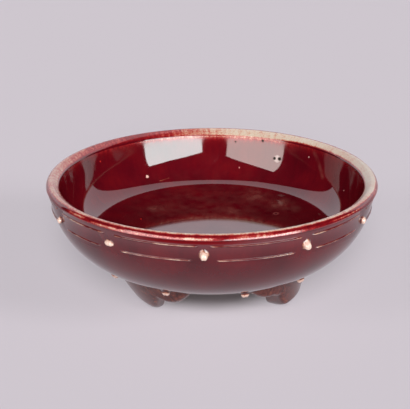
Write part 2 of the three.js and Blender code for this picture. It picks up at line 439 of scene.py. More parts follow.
def on_inside(azimuth, drop):
    """The point of the inner wall at an azimuth and a drop."""
    rows = [row for row in bowl_profile() if row[2] == "inside"]
    radius = float(np.interp(drop, [RIM_Z - row[1] for row in rows], [row[0] for row in rows]))
    x, y = radius * math.sin(math.radians(azimuth)), -radius * math.cos(math.radians(azimuth))
    lift = rim_lift(math.radians(azimuth)) * lift_inside(drop, RIM_Z - rows[0][1])
    return (x, y, RIM_Z - drop + floor_tilt(x, y, radius) + lift)


def on_floor(x, y):
    """The point of the floor inside the bowl over a place."""
    rows = [row for row in bowl_profile() if row[2] == "inside"][::-1]
    radius = math.hypot(x, y)
    z = float(np.interp(radius, [row[0] for row in rows], [row[1] for row in rows]))
    return (x, y, z + floor_tilt(x, y, radius))


def throwing_waves(angles, way):
    """The potter's faint waves, about 1 high where they are strongest."""
    rng = np.random.default_rng(WAVE_SEED)
    wave = 0.0
    for count, length in THROWING_WAVES:
        phase = rng.uniform(0, 2 * np.pi, 2)
        strength = (1 + WAVE_STRONG_COUNT) / (count + WAVE_STRONG_COUNT)
        up_the_wall = np.cos(2 * np.pi * way / length + phase[1])
        wave = wave + strength * np.cos(count * angles + phase[0]) * up_the_wall
    return wave


def stud_angles(in_front, count):
    """The studs seen in front, then the rest spaced evenly round the back."""
    hidden = count - len(in_front)
    spacing = (in_front[0] + 360 - in_front[-1]) / (hidden + 1)
    return [*in_front, *(in_front[-1] + spacing * (step + 1) for step in range(hidden))]


UPPER_STUD_ANGLES = stud_angles(UPPER_STUDS_IN_FRONT, UPPER_STUD_COUNT)
LOWER_STUD_ANGLES = stud_angles(LOWER_STUDS_IN_FRONT, LOWER_STUD_COUNT)
UPPER_STUD_Z = RIM_Z - UPPER_STUD_DROP
LOWER_STUD_Z = BASE_Z + LOWER_STUD_RISE


def line_cover(angles, stud_break):
    """Where a raised line shows, and how near the end of a stretch it is."""
    to_studs = [abs(arc_distance(angles, stud, WALL_RADIUS)) for stud in UPPER_STUD_ANGLES]
    near = np.min(to_studs, axis=0)
    shows = smooth((near - stud_break) / LINE_START)
    return shows, np.exp(-np.maximum(near - stud_break - LINE_START, 0) / LINE_END_FADE)


def glaze_run(angles, drop):
    """How near a place outside is to the middle of the run of glaze, from 0 to 1."""
    share = np.clip((drop - RUN_START[1]) / (RUN_END[1] - RUN_START[1]), 0, 1)
    across = arc_distance(angles, between(RUN_START[0], RUN_END[0], share), WALL_RADIUS)
    past_end = drop - np.clip(drop, RUN_START[1], RUN_END[1])
    return np.exp(-(np.hypot(across, past_end) / RUN_WIDTH) ** 2)


# How thin the glaze ran over the lip, round the rim, where 0 is oxblood and 1 is bare of red: at a
# turn, on the crest, on the inner face and on the outer side
LIP_GLAZE = (
    (-180, 0.6, 0.55, 0.1),
    (-168, 0.42, 0.38, 0.1),
    (-152, 0.24, 0.2, 0.15),
    (-130, 0.28, 0.25, 0.2),
    (-120, 0.42, 0.35, 0.35),
    (-110, 0.47, 0.43, 0.45),
    (-90, 0.52, 0.5, 0.45),
    (-72, 0.55, 0.5, 0.15),
    (-58, 0.55, 0.45, 0.1),
    (-46, 0.55, 0.2, 0.1),
    (0, 0.6, 0.0, 0.1),
    (45, 0.65, 0.1, 0.1),
    (60, 0.6, 0.5, 0.1),
    (70, 0.75, 0.75, 0.15),
    (80, 0.8, 0.78, 0.35),
    (110, 0.84, 0.76, 0.4),
    (140, 0.84, 0.76, 0.25),
    (165, 0.82, 0.76, 0.15),
    (180, 0.6, 0.6, 0.1),
)
FLAT_TOP = 4  # the power that gives a stretch a flat middle and soft ends
CREST_BAND = 0.6  # half the crest's width, along the lip
OUTER_BAND_START = 1.8
INNER_BAND_START = 1.1
LIP_FOOT_START = 3.6  # along the lip, where its inner face sinks back under red glaze
LIP_FOOT_END = 5.8
BEHIND_START = 90  # from this turn on, the outer side's thick glaze reaches up over the crest
BEHIND_END = 130
CREST_BAND_BEHIND = -0.45
OUTER_BAND_START_BEHIND = 0.15
FAR_BEHIND_START = 140  # from this turn on, the lip stays pale down to its foot, and on to the wall
FAR_BEHIND_END = 158
FOOT_START_FAR_BEHIND = 5.1
FOOT_END_FAR_BEHIND = 6.8
# How thin the glaze stays on the wall just under the lip's foot, and over what drop it thickens
BLEED = 0.2
BLEED_DROP = 2.6
BLEED_FAR_BEHIND = 0.42
BLEED_DROP_FAR_BEHIND = 1.4
# Short stretches of the outer side where the glaze wore thin, laid along the rows where the panels
# shine, so that they are also a painted highlight: middle and half length in degrees, middle and half
# width along the lip, and how thin
WORN_AND_HIGHLIGHT_STRETCHES = (
    (-4.5, 5.5, -3.6, 0.8, 0.5),
    (-24.0, 18.0, -3.5, 0.7, 0.3),
    (20.0, 16.0, -3.5, 0.7, 0.3),
    (14.0, 6.0, -2.4, 0.6, 0.25),
    (-38.0, 6.0, -3.3, 0.6, 0.3),
    (-51.0, 5.0, -2.6, 0.7, 0.4),
    (52.0, 9.0, -2.9, 0.4, 0.35),
)
# Dark glaze that gathered thick in the groove under the lip, and painted shade there, as a matt line
# that mirrors nothing: middle and half length in degrees, how far below the lip's edge, and half its
# height
SHADED_POOL_TURN = -8.0
SHADED_POOL_HALF_TURN = 20.0
SHADED_POOL_DROP = 0.55
SHADED_POOL_HALF_HEIGHT = 0.6
# How thin the glaze is on a raised line's crest between its bare ends, and on the run, whose pale
# colour is also a painted highlight
UPPER_LINE_THINNESS = 0.5
LOWER_LINE_THINNESS = 0.45
RUN_THINNESS_AND_HIGHLIGHT = 0.5


def far_behind(angles):
    """How far round the back a place is, from 0 to 1."""
    turn = abs(within_half_turn(np.degrees(angles)))
    return eased(turn, FAR_BEHIND_START, FAR_BEHIND_END)


def lip_thinness_and_highlight(along, angles):
    """How thin the glaze is on the lip, from its crest, inner face and outer side, with worn stretches
    that are also a painted highlight.
    """
    turn = within_half_turn(np.degrees(angles))
    turns, *sides = np.transpose(LIP_GLAZE)
    crest, inner, outer = (np.interp(turn, turns, side) for side in sides)
    behind = eased(abs(turn), BEHIND_START, BEHIND_END)
    inside = eased(along, CREST_BAND, INNER_BAND_START)
    band = between(CREST_BAND, CREST_BAND_BEHIND, behind)
    outside = eased(-along, band, between(OUTER_BAND_START, OUTER_BAND_START_BEHIND, behind))
    foot_start = between(LIP_FOOT_START, FOOT_START_FAR_BEHIND, far_behind(angles))
    foot_end = between(LIP_FOOT_END, FOOT_END_FAR_BEHIND, far_behind(angles))
    foot = 1 - eased(along, foot_start, foot_end)
    thin = crest * (1 - inside) * (1 - outside) + inner * inside * foot + outer * outside
    # Worn stretches along the rows where the panels shine: thin glaze, and a painted highlight
    for middle, half_length, line, half_width, thinness in WORN_AND_HIGHLIGHT_STRETCHES:
        stretch = np.exp(-(((turn - middle) / half_length) ** FLAT_TOP))
        thin = thin + thinness * stretch * np.exp(-(((along - line) / half_width) ** 2))
    return thin


def bleed_under_lip(below_foot, angles):
    """How thin the glaze is on the inner wall under the lip's foot."""
    behind = BLEED_FAR_BEHIND * np.exp(-below_foot / BLEED_DROP_FAR_BEHIND) * far_behind(angles)
    return BLEED * np.exp(-below_foot / BLEED_DROP) + behind


def pooled_glaze_and_shade(below_edge, angles):
    """Where thick dark glaze and painted shade lie in the groove under the lip, from 0 to 1."""
    turn = within_half_turn(np.degrees(angles))
    across = np.exp(-(((turn - SHADED_POOL_TURN) / SHADED_POOL_HALF_TURN) ** FLAT_TOP))
    return across * np.exp(-(((below_edge - SHADED_POOL_DROP) / SHADED_POOL_HALF_HEIGHT) ** FLAT_TOP))


def make_bowl(material):
    rows = bowl_profile()
    radius, z, side, along = (np.array(column)[:, None] for column in zip(*rows))
    angles = np.linspace(0, 2 * np.pi, AROUND, endpoint=False)[None, :]
    drop = RIM_Z - z
    outside, on_lip, inside = side == "outside", side == "lip", side == "inside"
    lip_edge, lip_foot = drop[on_lip][0], drop[on_lip][-1]
    step = np.hypot(np.diff(radius, axis=0), np.diff(z, axis=0))
    way = np.concatenate([[[0]], np.cumsum(step, axis=0)])

    # What swells out of the plain profile: the raised lines, the run, the waves and the lip's roll
    upper_shows, upper_end = line_cover(angles, UPPER_LINE_BREAK)
    lower_shows, lower_end = line_cover(angles, LOWER_LINE_BREAK)
    upper_line = hump(drop - UPPER_LINE_DROP, GLAZED_LINE_WIDTH) * outside * upper_shows
    lower_line = hump(drop - LOWER_LINE_DROP, GLAZED_LINE_WIDTH) * outside * lower_shows
    run = glaze_run(angles, drop) * outside
    swelling = GLAZED_LINE_HEIGHT * (upper_line + lower_line) + RUN_HEIGHT * run
    waving = inside * eased(drop, WAVE_START_DROP, WAVE_FULL_DROP)
    swelling = swelling + WAVE_HEIGHT * throwing_waves(angles, way) * waving
    spreading = eased(along, SPREAD_START, SPREAD_FULL) * on_lip
    spreading = spreading + np.exp(-np.maximum(drop - lip_edge, 0) / SPREAD_FILLET) * outside
    swelling = swelling + rim_spread(angles) * spreading

    shape = turned_to(angles, radius + swelling, z)
    shape[..., 2] += floor_tilt(shape[..., 0], shape[..., 1], radius) * inside
    lifted = on_lip + outside * eased(drop, LIFT_ENDS_OUTSIDE, lip_edge)
    lifted = lifted + inside * lift_inside(drop, lip_foot)
    shape[..., 2] += rim_lift(angles) * lifted
    points = np.concatenate([[[0, 0, BASE_Z]], shape.reshape(-1, 3), [[0, 0, z[-1, 0]]]])
    count = len(rows)
    faces = ring_faces(count, AROUND, start=1)
    last = 1 + (count - 1) * AROUND
    for column in range(AROUND):
        after = (column + 1) % AROUND
        faces.append((0, 1 + after, 1 + column))
        faces.append((last + column, last + after, len(points) - 1))

    def per_point(values):
        grid = np.broadcast_to(values, (count, AROUND)).reshape(-1)
        return np.concatenate([[grid[0]], grid, [grid[-1]]])

    upper_crest = upper_line**2 * (UPPER_LINE_THINNESS + (1 - UPPER_LINE_THINNESS) * upper_end)
    lower_crest = lower_line**2 * (LOWER_LINE_THINNESS + (1 - LOWER_LINE_THINNESS) * lower_end)
    bleed = bleed_under_lip(np.maximum(drop - lip_foot, 0) * inside, angles) * inside
    wiped = (side == "base") * smooth((BASE_RADIUS - WIPED_MARGIN - radius) / WIPED_EASE)
    flow = turned_to(angles, WALL_RADIUS, way - way[on_lip][0])
    flow = np.concatenate([flow[0, :1], flow.reshape(-1, 3), flow[-1, :1]])
    attributes = {
        "thin_lip": per_point(lip_thinness_and_highlight(along, angles) * on_lip + bleed),
        # The run's pale colour is partly a painted highlight
        "thin_line": per_point(upper_crest + lower_crest + RUN_THINNESS_AND_HIGHLIGHT * run),
        # Groove under the lip: thick dark glaze, and painted shade
        "pooled": per_point(pooled_glaze_and_shade(drop - lip_edge, angles) * (outside | on_lip)),
        "bare": per_point(wiped),
        "flow": flow * MM,
    }
    bowl = smooth_piece("glazed_bowl", points, faces, attributes, material)
    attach(bowl, "root")
    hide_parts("bowl")


def make_stud(node, angle, z_centre, seed, material):
    """A nub pressed on to the wall: a flared skirt under glaze, and a tip it has run off."""
    plain = PLAIN_UPPER_STUD if node.startswith("upper") else PLAIN_LOWER_STUD
    wide, tall, high, barer = ODD_STUDS.get(node, plain)
    rng = np.random.default_rng(seed)
    turn = np.linspace(0, 2 * np.pi, STUD_COLUMNS, endpoint=False)[None, :]
    share = np.linspace(0, 1, STUD_ROWS, endpoint=False)[:, None]
    over_cap = ((share - STUD_CAP_START) / (1 - STUD_CAP_START)).clip(0)
    radius = STUD_CAP_RADIUS * np.clip(1 - over_cap**STUD_CAP_FULLNESS, 0, 1) ** STUD_CAP_BLUNTNESS
    radius = radius + (STUD_SKIRT_RADIUS - STUD_CAP_RADIUS) * smooth(1 - share / STUD_SKIRT_SHARE)
    for count in STUD_WAVES:
        phase = rng.uniform(0, 2 * np.pi)
        radius = radius * (1 + STUD_WAVER / count * np.cos(count * turn + phase))
    height = STUD_HEIGHT * high
    cleft = CLEFT_DEPTH * high

    # Across the wall, up it, and out of it
    across = radius * np.cos(turn) * STUD_NARROWING * wide
    upward = radius * np.sin(turn) * tall - STUD_SAG * share
    rise = -STUD_SINK + (height + STUD_SINK) * share
    rise = rise - cleft * share**2 * np.exp(-((across / CLEFT_WIDTH) ** 2))
    centre_radius = float(wall_radius(z_centre))
    outward = wall_normal(z_centre)
    bend = np.sqrt(np.maximum(centre_radius**2 - across**2, 0)) - centre_radius
    bend = bend * np.clip(1 - share * 2, 0, 1)
    out = centre_radius - outward[1] * upward + outward[0] * rise + bend
    z = z_centre + outward[0] * upward + outward[1] * rise
    tip_rise = height - cleft
    tip_out = centre_radius + outward[1] * STUD_SAG + outward[0] * tip_rise
    tip_z = z_centre - outward[0] * STUD_SAG + outward[1] * tip_rise
    points = np.stack([across, -out, z], axis=-1).reshape(-1, 3)
    points = np.concatenate([points, [[0, -tip_out, tip_z]]])

    # Round to its place on the ring
    spin = math.radians(angle)
    x, y, z = points.T
    turned_x = x * math.cos(spin) - y * math.sin(spin)
    turned_y = x * math.sin(spin) + y * math.cos(spin)
    turned = np.stack([turned_x, turned_y, z], axis=-1)
    faces = ring_faces(STUD_ROWS, STUD_COLUMNS)
    last = (STUD_ROWS - 1) * STUD_COLUMNS
    for column in range(STUD_COLUMNS):
        faces.append((last + column, last + (column + 1) % STUD_COLUMNS, len(points) - 1))
    faces.append(tuple(reversed(range(STUD_COLUMNS))))
    # Glaze hangs on the upper side of the lower studs, and their bare tips point down
    hang = -LOWER_STUD_HANG * np.sin(turn) * node.startswith("lower")
    bareness = np.concatenate([(share + barer + hang * share).reshape(-1), [1 + barer]])
    stud = smooth_piece("glazed_" + node, turned, faces, {"bareness": bareness}, material)
    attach(stud, "root")
    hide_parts(node)


def foot_edge(along, wing_rises):
    """Height of a foot's lower edge, at distances along its curve."""
    away = abs(along)
    wing_height = WING_HEIGHT + np.where(along < 0, *wing_rises)
    pad = PAD_WIDTH / 2
    notch = TOE_LOBE_WIDTH / 2
    low = WING_LOW_WIDTH / 2
    to_end = np.clip((away - low) / (FOOT_WIDTH / 2 - low), 0, 1)
    lobe = NOTCH_HEIGHT * (1 - np.cos(np.pi / 2 * np.clip((away - pad) / (notch - pad), 0, 1)))
    dip = between(NOTCH_HEIGHT, wing_height, eased(away, notch, low))
    wing = between(wing_height, WING_END_HEIGHT, to_end**WING_SWEEP)
    return np.where(away < notch, lobe, np.where(away < low, dip, wing))


def make_foot(name, angle, lean, swell, toe_round, wing_rises, material):
    """A cloud-shaped foot: a curved slab with a toe and two wings, rounded along its lower edge."""
    along = np.linspace(-FOOT_WIDTH / 2, FOOT_WIDTH / 2, FOOT_SLICES)[:, None]
    low = foot_edge(along, wing_rises)
    root_z = BASE_Z + FOOT_ROOT_RISE

    def face_radius(pad, root, rounding, z):
        rise = np.minimum(1, z / root_z)
        curl = np.maximum(0, 1 - z / TOE_ROUND_HEIGHT) ** 2
        pressed = lean * (1 - rise) + swell * np.sin(np.pi * rise)
        return pad + rounding + (root - pad - rounding) * z / root_z - rounding * curl + pressed

    z = between(low, BASE_Z + FOOT_SINK, np.linspace(1, 0, FOOT_ROWS)[None, :] ** FOOT_ROW_CROWDING)
    slope = np.gradient(low[:, 0], along[:, 0])[:, None]
    near_edge = np.clip(1 - (z - low) / np.hypot(1, slope) / FOOT_EDGE_ROUND, 0, 1)
    round_in = FOOT_EDGE_ROUND * (1 - np.sqrt(1 - near_edge**2))
    inner_root = FOOT_ROOT_RADIUS - FOOT_ROOT_THICKNESS
    outer = face_radius(PAD_OUTER_RADIUS, FOOT_ROOT_RADIUS, toe_round, z) - round_in
    inner = face_radius(PAD_INNER_RADIUS, inner_root, -TOE_INNER_ROUND, z) + round_in
    radius = np.concatenate([outer, inner[:, ::-1]], axis=1)
    heights = np.concatenate([z, z[:, ::-1]], axis=1)
    angles = along / FOOT_ARC_RADIUS + math.radians(angle)
    points = turned_to(angles, radius, heights).reshape(-1, 3)
    slices, around = radius.shape
    faces = ring_faces(slices, around)
    faces.append(tuple(range(around))[::-1])
    faces.append(tuple(range((slices - 1) * around, slices * around)))
    on_wing = smooth((abs(along) - TOE_LOBE_WIDTH / 2 + PALE_EDGE_LEAD) / PALE_EDGE_EASE)
    edge = (np.exp(-np.maximum(heights - low, 0) / PALE_EDGE_HEIGHT) * on_wing).reshape(-1)
    foot = smooth_piece("glazed_" + name, points, faces, {"foot_edge": edge}, material)
    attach(foot, "root")
    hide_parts(name)


# Marks that the kiln left inside the bowl: where, how wide in millimetres, how soft its edge is,
# its colour, and how much it covers
INSIDE_MARKS = (
    (on_inside(151.2, 15.2), 6.0, 0.5, "#d9c8c0", 0.35),
    (on_inside(-150.0, 25.8), 2.6, 0.5, "#e0b4a8", 0.75),
    (on_inside(136.0, 9.7), 1.5, 0.6, "#c8a094", 0.6),
    (on_inside(167.7, 23.3), 1.2, 0.6, "#d08a84", 0.7),
    (on_inside(109.1, 19.5), 1.2, 0.6, "#c8908a", 0.8),
    (on_inside(-128.0, 9.5), 1.5, 0.6, "#c83228", 0.7),
    (on_floor(-44.5, 22.9), 1.6, 0.6, "#c8281e", 0.8),
    (on_floor(40.8, 30.7), 5.0, 0.4, "#8a4a48", 0.5),
    (on_floor(40.8, 30.7), 2.6, 0.5, "#3c0a10", 0.9),
)
# Pits in the glaze, painted near-black as the shade in their holes: where, and how wide
PITS = (
    (on_inside(170.0, 7.2), 1.5),
    (on_inside(158.4, 5.1), 2.2),
    (on_inside(152.4, 15.2), 2.6),
    (on_inside(150.1, 15.0), 3.2),
)
# Painted reflections on the floor inside: pale blurred patches of the bright wall, broken up by fine
# speckle: where, how wide, and how much they cover
FLOOR_REFLECTION_PATCHES = (
    (on_floor(28.2, 59.2), 26.0, 0.5),
    (on_floor(43.6, 45.3), 24.0, 0.6),
    (on_floor(51.2, 36.1), 16.0, 0.4),
    (on_floor(13.0, 36.1), 18.0, 0.4),
    (on_floor(-35.6, 39.3), 14.0, 0.75),
    (on_floor(0.0, 25.0), 150.0, 0.25),
)
# Colour of the painted reflections on the floor inside
FLOOR_REFLECTION_COLOUR = "#7a4c44"
# Thin runs and scratches on the inner wall, from one place to another: width, colour and cover
INSIDE_STROKES = (
    (on_inside(-155.3, 29.3), on_inside(-160.0, 28.4), 0.8, "#a8664c", 0.7),
    (on_inside(133.6, 5.4), on_inside(126.0, 18.7), 4.0, "#8a5048", 0.4),
)

# Glaze: real sizes of its patterns, and the colours that they run through
RUN_PATTERN_WIDTH = 2.4
RUN_PATTERN_SQUASH = 0.25  # up the wall, so that the runs are drawn out down it
SPECKLE_SIZE = 0.9
CLOUD_SIZE = 20.0
LINE_PATCH_SIZE = 9.0
PATCH_GRAIN = 6.0
STUD_FRINGE_SIZE = 2.4
FOOT_SWIRL_SIZE = 7.0
FOOT_MOTTLE_SIZE = 3.2
MOST_OF_NOISE = {"From Min": 0.3, "From Max": 0.7}  # where nearly all of a noise's values lie
# How much the patterns thin or thicken the glaze
STREAK_STRENGTH = {"To Min": -0.09, "To Max": 0.09}
SPECKLE_STRENGTH = {"To Min": -0.17, "To Max": 0.17}
CLOUD_STRENGTH = {"To Min": 0.035, "To Max": 0.165}
STREAKS_ALL_OVER = 0.2  # of their strength on the lip
PATCHY_LINE = {"From Min": 0.4, "From Max": 0.66, "To Min": 0.12, "To Max": 1.1}
PATCHY_COVER = {"From Min": 0.34, "From Max": 0.72}
FRINGE_STRENGTH = {"To Min": -0.22, "To Max": 0.22}
BREAKING_UP = {"From Min": 0.02, "From Max": 0.3}  # how thin it is where streaks and speckle show
SWIRL_REACH = 0.012  # how far the swirls bend the mottling of the feet, as a share
PALE_STRETCHES = {"From Min": 0.42, "From Max": 0.58}
PALE_AT_EDGE = {"From Min": 0.6, "From Max": 0.95}
GLAZE_ROUGHNESS = 0.045
WORN_LIP_ROUGHNESS = 0.3
WORN_LIP_THINNESS = 0.6  # from here on, the lip is as rough as that
WIPED_ROUGHNESS = 0.6
STUD_ROUGHNESS = 0.2
FOOT_ROUGHNESS = 0.16
GLAZE_IOR = 1.55  # of a fired glaze, which gives bright mirror images
THIN_GLAZE_IOR = 1.38  # weaker ones, where it ran thin over the feet
WIPED_BASE_COLOUR = "#c9b8a2"
# Matt dark colour in the groove under the lip: thick glaze, and painted shade
POOLED_GLAZE_AND_SHADE_COLOUR = "#5c0a10"
# Near-black of the pits: painted shade in their holes
PIT_SHADE_COLOUR = "#1e1712"
PALE_EDGE_COLOUR = "#c2a08c"
GLAZE_BY_THINNESS = (
    (0.0, "#3a040b"),
    (0.1, "#4a050e"),
    (0.2, "#59080f"),
    (0.38, "#7c1418"),
    (0.5, "#943a32"),
    (0.64, "#a26e5c"),
    (0.8, "#b09886"),
    (1.0, "#b2a898"),
)
LINE_COLOURS = ((0.35, "#8c4c40"), (0.5, "#b98270"), (0.65, "#dcbca6"))
STUD_BY_BARENESS = (
    (0.0, "#3c0a0e"),
    (0.14, "#52201a"),
    (0.23, "#8e5a42"),
    (0.32, "#c4a294"),
    (1.0, "#ccb0a0"),
)
FOOT_COLOURS = ((0.3, "#34120f"), (0.46, "#4a201b"), (0.6, "#5a2a24"), (0.78, "#74462f"))


# Materials
def glaze_thinness(tree, place, thin_lip):
    """How thin the glaze is, from oxblood at 0 to bare of red at 1: it clouds and runs a little all
    over, and is streaked and speckled on the lip."""
    flow = add(tree, "Attribute", attribute_name="flow").outputs["Vector"]
    runs = add(tree, "Mapping", {"Vector": flow, "Scale": (1, 1, RUN_PATTERN_SQUASH)})
    streaks = add(
        tree, "TexNoise", {"Vector": runs, "Scale": per_metre(RUN_PATTERN_WIDTH), "Detail": 3.0}
    )
    speckle = add(tree, "TexNoise", {"Vector": place, "Scale": per_metre(SPECKLE_SIZE), "Detail": 3.0})
    cloud = add(tree, "TexNoise", {"Vector": place, "Scale": per_metre(CLOUD_SIZE), "Detail": 5.0})
    streaky = add(tree, "MapRange", {"Value": streaks, **MOST_OF_NOISE, **STREAK_STRENGTH})
    speckled = add(tree, "MapRange", {"Value": speckle, **MOST_OF_NOISE, **SPECKLE_STRENGTH})
    drift = add(tree, "MapRange", {"Value": cloud, **MOST_OF_NOISE, **CLOUD_STRENGTH})
    drift = add(tree, "Math", {0: streaky, 1: STREAKS_ALL_OVER, 2: drift}, operation="MULTIPLY_ADD")
    broken = add(tree, "Math", {0: streaky, 1: speckled}, operation="ADD")
    reach = add(tree, "MapRange", {"Value": thin_lip, **BREAKING_UP})
    broken = add(tree, "Math", {0: broken, 1: reach}, operation="MULTIPLY")
    thinness = add(tree, "Math", {0: thin_lip, 1: broken}, operation="ADD")
    return add(tree, "Math", {0: thinness, 1: drift}, operation="ADD", use_clamp=True)


def over_raised_lines(tree, place, glaze):
    """Thins the glaze on the raised lines to dusty pink and cream, in broken stretches, and paints the
    run's pale highlight the same way.
    """
    thin_line = add(tree, "Attribute", attribute_name="thin_line").outputs["Fac"]
    along = add(tree, "TexNoise", {"Vector": place, "Scale": per_metre(LINE_PATCH_SIZE), "Detail": 4.0})
    broken = add(tree, "MapRange", {"Value": along, **PATCHY_LINE})
    level = add(tree, "Math", {0: thin_line, 1: broken}, operation="MULTIPLY", use_clamp=True)
    colour = add(tree, "ValToRGB", {"Fac": along}, stops=LINE_COLOURS)
    return add(tree, "Mix", {"Factor": level, "A": glaze, "B": colour}, data_type="RGBA")


def spot_cover(tree, place, centre, width, core, cover, easing):
    """How much a round spot covers: all that it does within its core, and nothing past its width."""
    centre_m = [value * MM for value in centre]
    away = add(tree, "VectorMath", {0: place, 1: centre_m}, operation="DISTANCE")
    fade = {"From Min": width / 2 * MM, "From Max": core / 2 * MM, "To Min": 0.0, "To Max": cover}
    return add(tree, "MapRange", {"Value": away, **fade}, interpolation_type=easing)


def stroke_cover(tree, place, start, end, width, cover):
    """How much a straight stroke covers, from all that it does along its middle to nothing."""
    start, end = Vector(start) * MM, Vector(end) * MM
    course, length = (end - start).normalized(), (end - start).length
    from_start = add(tree, "VectorMath", {0: place, 1: start}, operation="SUBTRACT")
    ahead = add(tree, "VectorMath", {0: from_start, 1: course}, operation="DOT_PRODUCT")
    within = add(tree, "Clamp", {"Value": ahead, "Min": 0.0, "Max": length})
    nearest = add(tree, "VectorMath", {0: course, "Scale": within}, operation="SCALE")
    away = add(tree, "VectorMath", {0: from_start, 1: nearest}, operation="DISTANCE")
    fade = {"From Min": width / 2 * MM, "From Max": 0.0, "To Min": 0.0, "To Max": cover}
    return add(tree, "MapRange", {"Value": away, **fade})


def over_kiln_marks(tree, place, glaze):
    """Lays the marks, then the patchy painted reflections on the floor, then the patchy strokes, over
    the glaze inside the bowl.
    """
    grain = add(tree, "TexNoise", {"Vector": place, "Scale": per_metre(PATCH_GRAIN), "Detail": 8.0})
    patchy = add(tree, "MapRange", {"Value": grain, **PATCHY_COVER})
    layers = []
    for centre, width, softness, colour, cover in INSIDE_MARKS:
        core = width * (1 - softness)
        layers.append((spot_cover(tree, place, centre, width, core, cover, "SMOOTHSTEP"), colour))
    # Painted reflections: pale blurred patches of the bright wall, on the floor inside
    for centre, width, cover in FLOOR_REFLECTION_PATCHES:
        spot = spot_cover(tree, place, centre, width, 0.0, cover, "SMOOTHSTEP")
        layers.append((add(tree, "Math", {0: spot, 1: patchy}, operation="MULTIPLY"), FLOOR_REFLECTION_COLOUR))
    for start, end, width, colour, cover in INSIDE_STROKES:
        stroke = stroke_cover(tree, place, start, end, width, cover)
        layers.append((add(tree, "Math", {0: stroke, 1: patchy}, operation="MULTIPLY"), colour))
    for level, colour in layers:
        glaze = add(tree, "Mix", {"Factor": level, "A": glaze, "B": linear(colour)}, data_type="RGBA")
    return glaze


def porcelain_copper_red_glaze():
    """Porcelain dipped in copper-red glaze: oxblood where it lies thick, bright red and then cream
    where it has run thin off an edge, with a few pits and specks from the kiln. The pits are painted
    near-black as the shade in their holes, and a matt dark line under the lip is thick glaze with
    painted shade."""
    material, tree = new_material("porcelain_copper_red_glaze")
    place = add(tree, "TexCoord").outputs["Object"]
    thin_lip = add(tree, "Attribute", attribute_name="thin_lip").outputs["Fac"]
    bare = add(tree, "Attribute", attribute_name="bare").outputs["Fac"]
    pooled = add(tree, "Attribute", attribute_name="pooled").outputs["Fac"]
    thinness = glaze_thinness(tree, place, thin_lip)
    glaze = add(tree, "ValToRGB", {"Fac": thinness}, stops=GLAZE_BY_THINNESS)
    glaze = over_kiln_marks(tree, place, over_raised_lines(tree, place, glaze))
    wiped = {"Factor": bare, "A": glaze, "B": linear(WIPED_BASE_COLOUR)}
    colour = add(tree, "Mix", wiped, data_type="RGBA")
    wear = {"To Min": GLAZE_ROUGHNESS, "To Max": WORN_LIP_ROUGHNESS}
    worn = add(tree, "MapRange", {"Value": thin_lip, "From Max": WORN_LIP_THINNESS, **wear})
    roughness = add(tree, "MapRange", {"Value": bare, "To Min": worn, "To Max": WIPED_ROUGHNESS})
    shine = {"Roughness": roughness, "IOR": GLAZE_IOR}
    finish = add(tree, "BsdfPrincipled", {"Base Color": colour, **shine})
    # In the groove under the lip, a matt dark finish that mirrors nothing: thick glaze there, and
    # painted shade under the lip
    pool_and_shade = add(tree, "BsdfDiffuse", {"Color": linear(POOLED_GLAZE_AND_SHADE_COLOUR)})
    finish = add(tree, "MixShader", {0: pooled, 1: finish, 2: pool_and_shade})
    # Pits: a matt near-black, painted as the shade in each hole
    pit_shade = add(tree, "BsdfDiffuse", {"Color": linear(PIT_SHADE_COLOUR)})
    for centre, width in PITS:
        hole = spot_cover(tree, place, centre, width, width / 2, 1.0, "LINEAR")
        finish = add(tree, "MixShader", {0: hole, 1: finish, 2: pit_shade})
    add(tree, "OutputMaterial", {"Surface": finish})
    return material


def porcelain_stud_glaze():
    """The same glaze over a stud: red on its skirt, then an orange fringe, and bare tan-cream
    porcelain under clear glaze at the tip."""
    material, tree = new_material("porcelain_stud_glaze")
    place = add(tree, "TexCoord").outputs["Object"]
    rise = add(tree, "Attribute", attribute_name="bareness").outputs["Fac"]
    fringe = {"Scale": per_metre(STUD_FRINGE_SIZE), "Detail": 3.0}
    ragged = add(tree, "TexNoise", {"Vector": place, **fringe})
    shift = add(tree, "MapRange", {"Value": ragged, **FRINGE_STRENGTH})
    level = add(tree, "Math", {0: rise, 1: shift}, operation="ADD", use_clamp=True)
    colour = add(tree, "ValToRGB", {"Fac": level}, stops=STUD_BY_BARENESS)
    shine = {"Roughness": STUD_ROUGHNESS, "IOR": GLAZE_IOR}
    finish = add(tree, "BsdfPrincipled", {"Base Color": colour, **shine})
    add(tree, "OutputMaterial", {"Surface": finish})
    return material


def porcelain_foot_glaze():
    """Glaze that ran thin over the moulded feet: brown-red, mottled, and pale along the lower edges."""
    material, tree = new_material("porcelain_foot_glaze")
    place = add(tree, "TexCoord").outputs["Object"]
    edge = add(tree, "Attribute", attribute_name="foot_edge").outputs["Fac"]
    warp = add(tree, "TexNoise", {"Vector": place, "Scale": per_metre(FOOT_SWIRL_SIZE), "Detail": 2.0})
    swirl = {"Factor": SWIRL_REACH, "A": place, "B": warp.outputs["Color"]}
    bent = add(tree, "Mix", swirl, data_type="VECTOR")
    mottling = {"Scale": per_metre(FOOT_MOTTLE_SIZE), "Detail": 4.0}
    mottle = add(tree, "TexNoise", {"Vector": bent, **mottling})
    body = add(tree, "ValToRGB", {"Fac": mottle}, stops=FOOT_COLOURS)
    stretch = add(tree, "MapRange", {"Value": mottle, **PALE_STRETCHES})
    pale = add(tree, "MapRange", {"Value": edge, **PALE_AT_EDGE})
    pale = add(tree, "Math", {0: pale, 1: stretch}, operation="MULTIPLY")
    edged = {"Factor": pale, "A": body, "B": linear(PALE_EDGE_COLOUR)}
    colour = add(tree, "Mix", edged, data_type="RGBA")
    shine = {"Roughness": FOOT_ROUGHNESS, "IOR": THIN_GLAZE_IOR}
    finish = add(tree, "BsdfPrincipled", {"Base Color": colour, **shine})
    add(tree, "OutputMaterial", {"Surface": finish})
    return material


